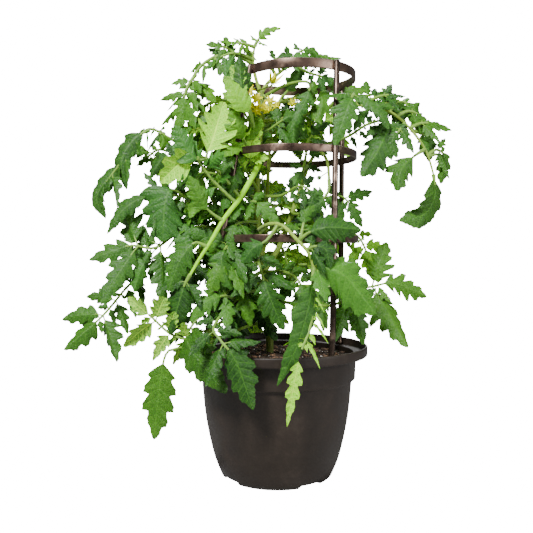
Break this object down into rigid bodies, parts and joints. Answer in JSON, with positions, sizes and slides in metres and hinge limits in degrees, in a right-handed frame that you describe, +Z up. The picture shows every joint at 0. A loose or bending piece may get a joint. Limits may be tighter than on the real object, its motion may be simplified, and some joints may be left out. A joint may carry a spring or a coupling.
{
  "type": "potted tomato plant",
  "caption": "Tomato plant with toothed compound leaves and yellow flowers in a round rimmed plastic pot, held by a tapering support of rings on legs.",
  "frame": {"origin": "middle of the pot's foot, on the ground", "axes": "+Z up along the pot's axis, -Y to the front of the plant, +X to the right seen from the front"},
  "size_m": [0.6162, 0.3794, 0.7511],
  "materials": {
    "pot": "dark brown moulded plastic, satin and slightly scuffed",
    "soil": "dark potting mix of bark and peat with white grains",
    "support": "bronze brown plastic, half gloss",
    "leaf": "living leaf, mid green above and paler below, softly hairy",
    "pale_leaf": "living leaf and shoot, pale yellow green",
    "stem": "living stem, olive green and hairy",
    "petal": "thin soft petal, bright yellow"
  },
  "bodies": {
    "root": {"pot": "pot", "soil": "soil", "ring_top": "support", "ring_middle": "support", "ring_low": "support", "leg_1": "support", "leg_2": "support", "leg_3": "support", "leg_4": "support", "trunk": "stem", "stem_right": "leaf", "stem_back": "stem", "branch_front_left": "pale_leaf", "branch_right": "leaf", "stem_front": "leaf", "shoot_top_left": "leaf", "shoot_top_right": "leaf", "leaf_left_arching": "leaf", "leaf_left_upright": "leaf", "leaf_left_upper": "leaf", "leaf_left_behind": "leaf", "leaf_left_middle": "leaf", "leaf_left_lower": "leaf", "leaf_left_reaching": "leaf", "leaf_left_pale": "pale_leaf", "leaf_left_hanging": "leaf", "leaf_right_upper": "leaf", "leaf_top_folded": "leaf", "leaf_front_left": "leaf", "leaf_front": "leaf", "leaf_right_low": "leaf", "leaf_right_out": "leaf", "leaf_right_back": "leaf", "leaf_right_middle": "leaf", "leaf_middle_high": "leaf", "leaf_middle_pale": "pale_leaf", "leaf_middle_dark": "leaf", "leaf_middle_cross": "leaf", "leaf_middle_low": "leaf", "leaf_middle_left": "leaf", "leaf_inner_right": "leaf", "leaf_back_high": "leaf", "leaf_back_left_high": "leaf", "leaf_back_right_high": "leaf", "leaf_back_left_low": "leaf", "leaf_back_right_low": "leaf", "leaf_back_middle": "leaf", "leaf_back_foot": "leaf", "truss_left": "stem", "truss_left_bloom_1": "petal", "truss_left_bloom_2": "petal", "truss_left_bloom_3": "petal", "truss_left_bloom_4": "petal", "truss_left_bloom_5": "petal", "truss_left_bloom_6": "petal", "truss_right": "stem", "truss_right_bloom_1": "petal", "truss_right_bloom_2": "petal"}
  },
  "joints": []
}
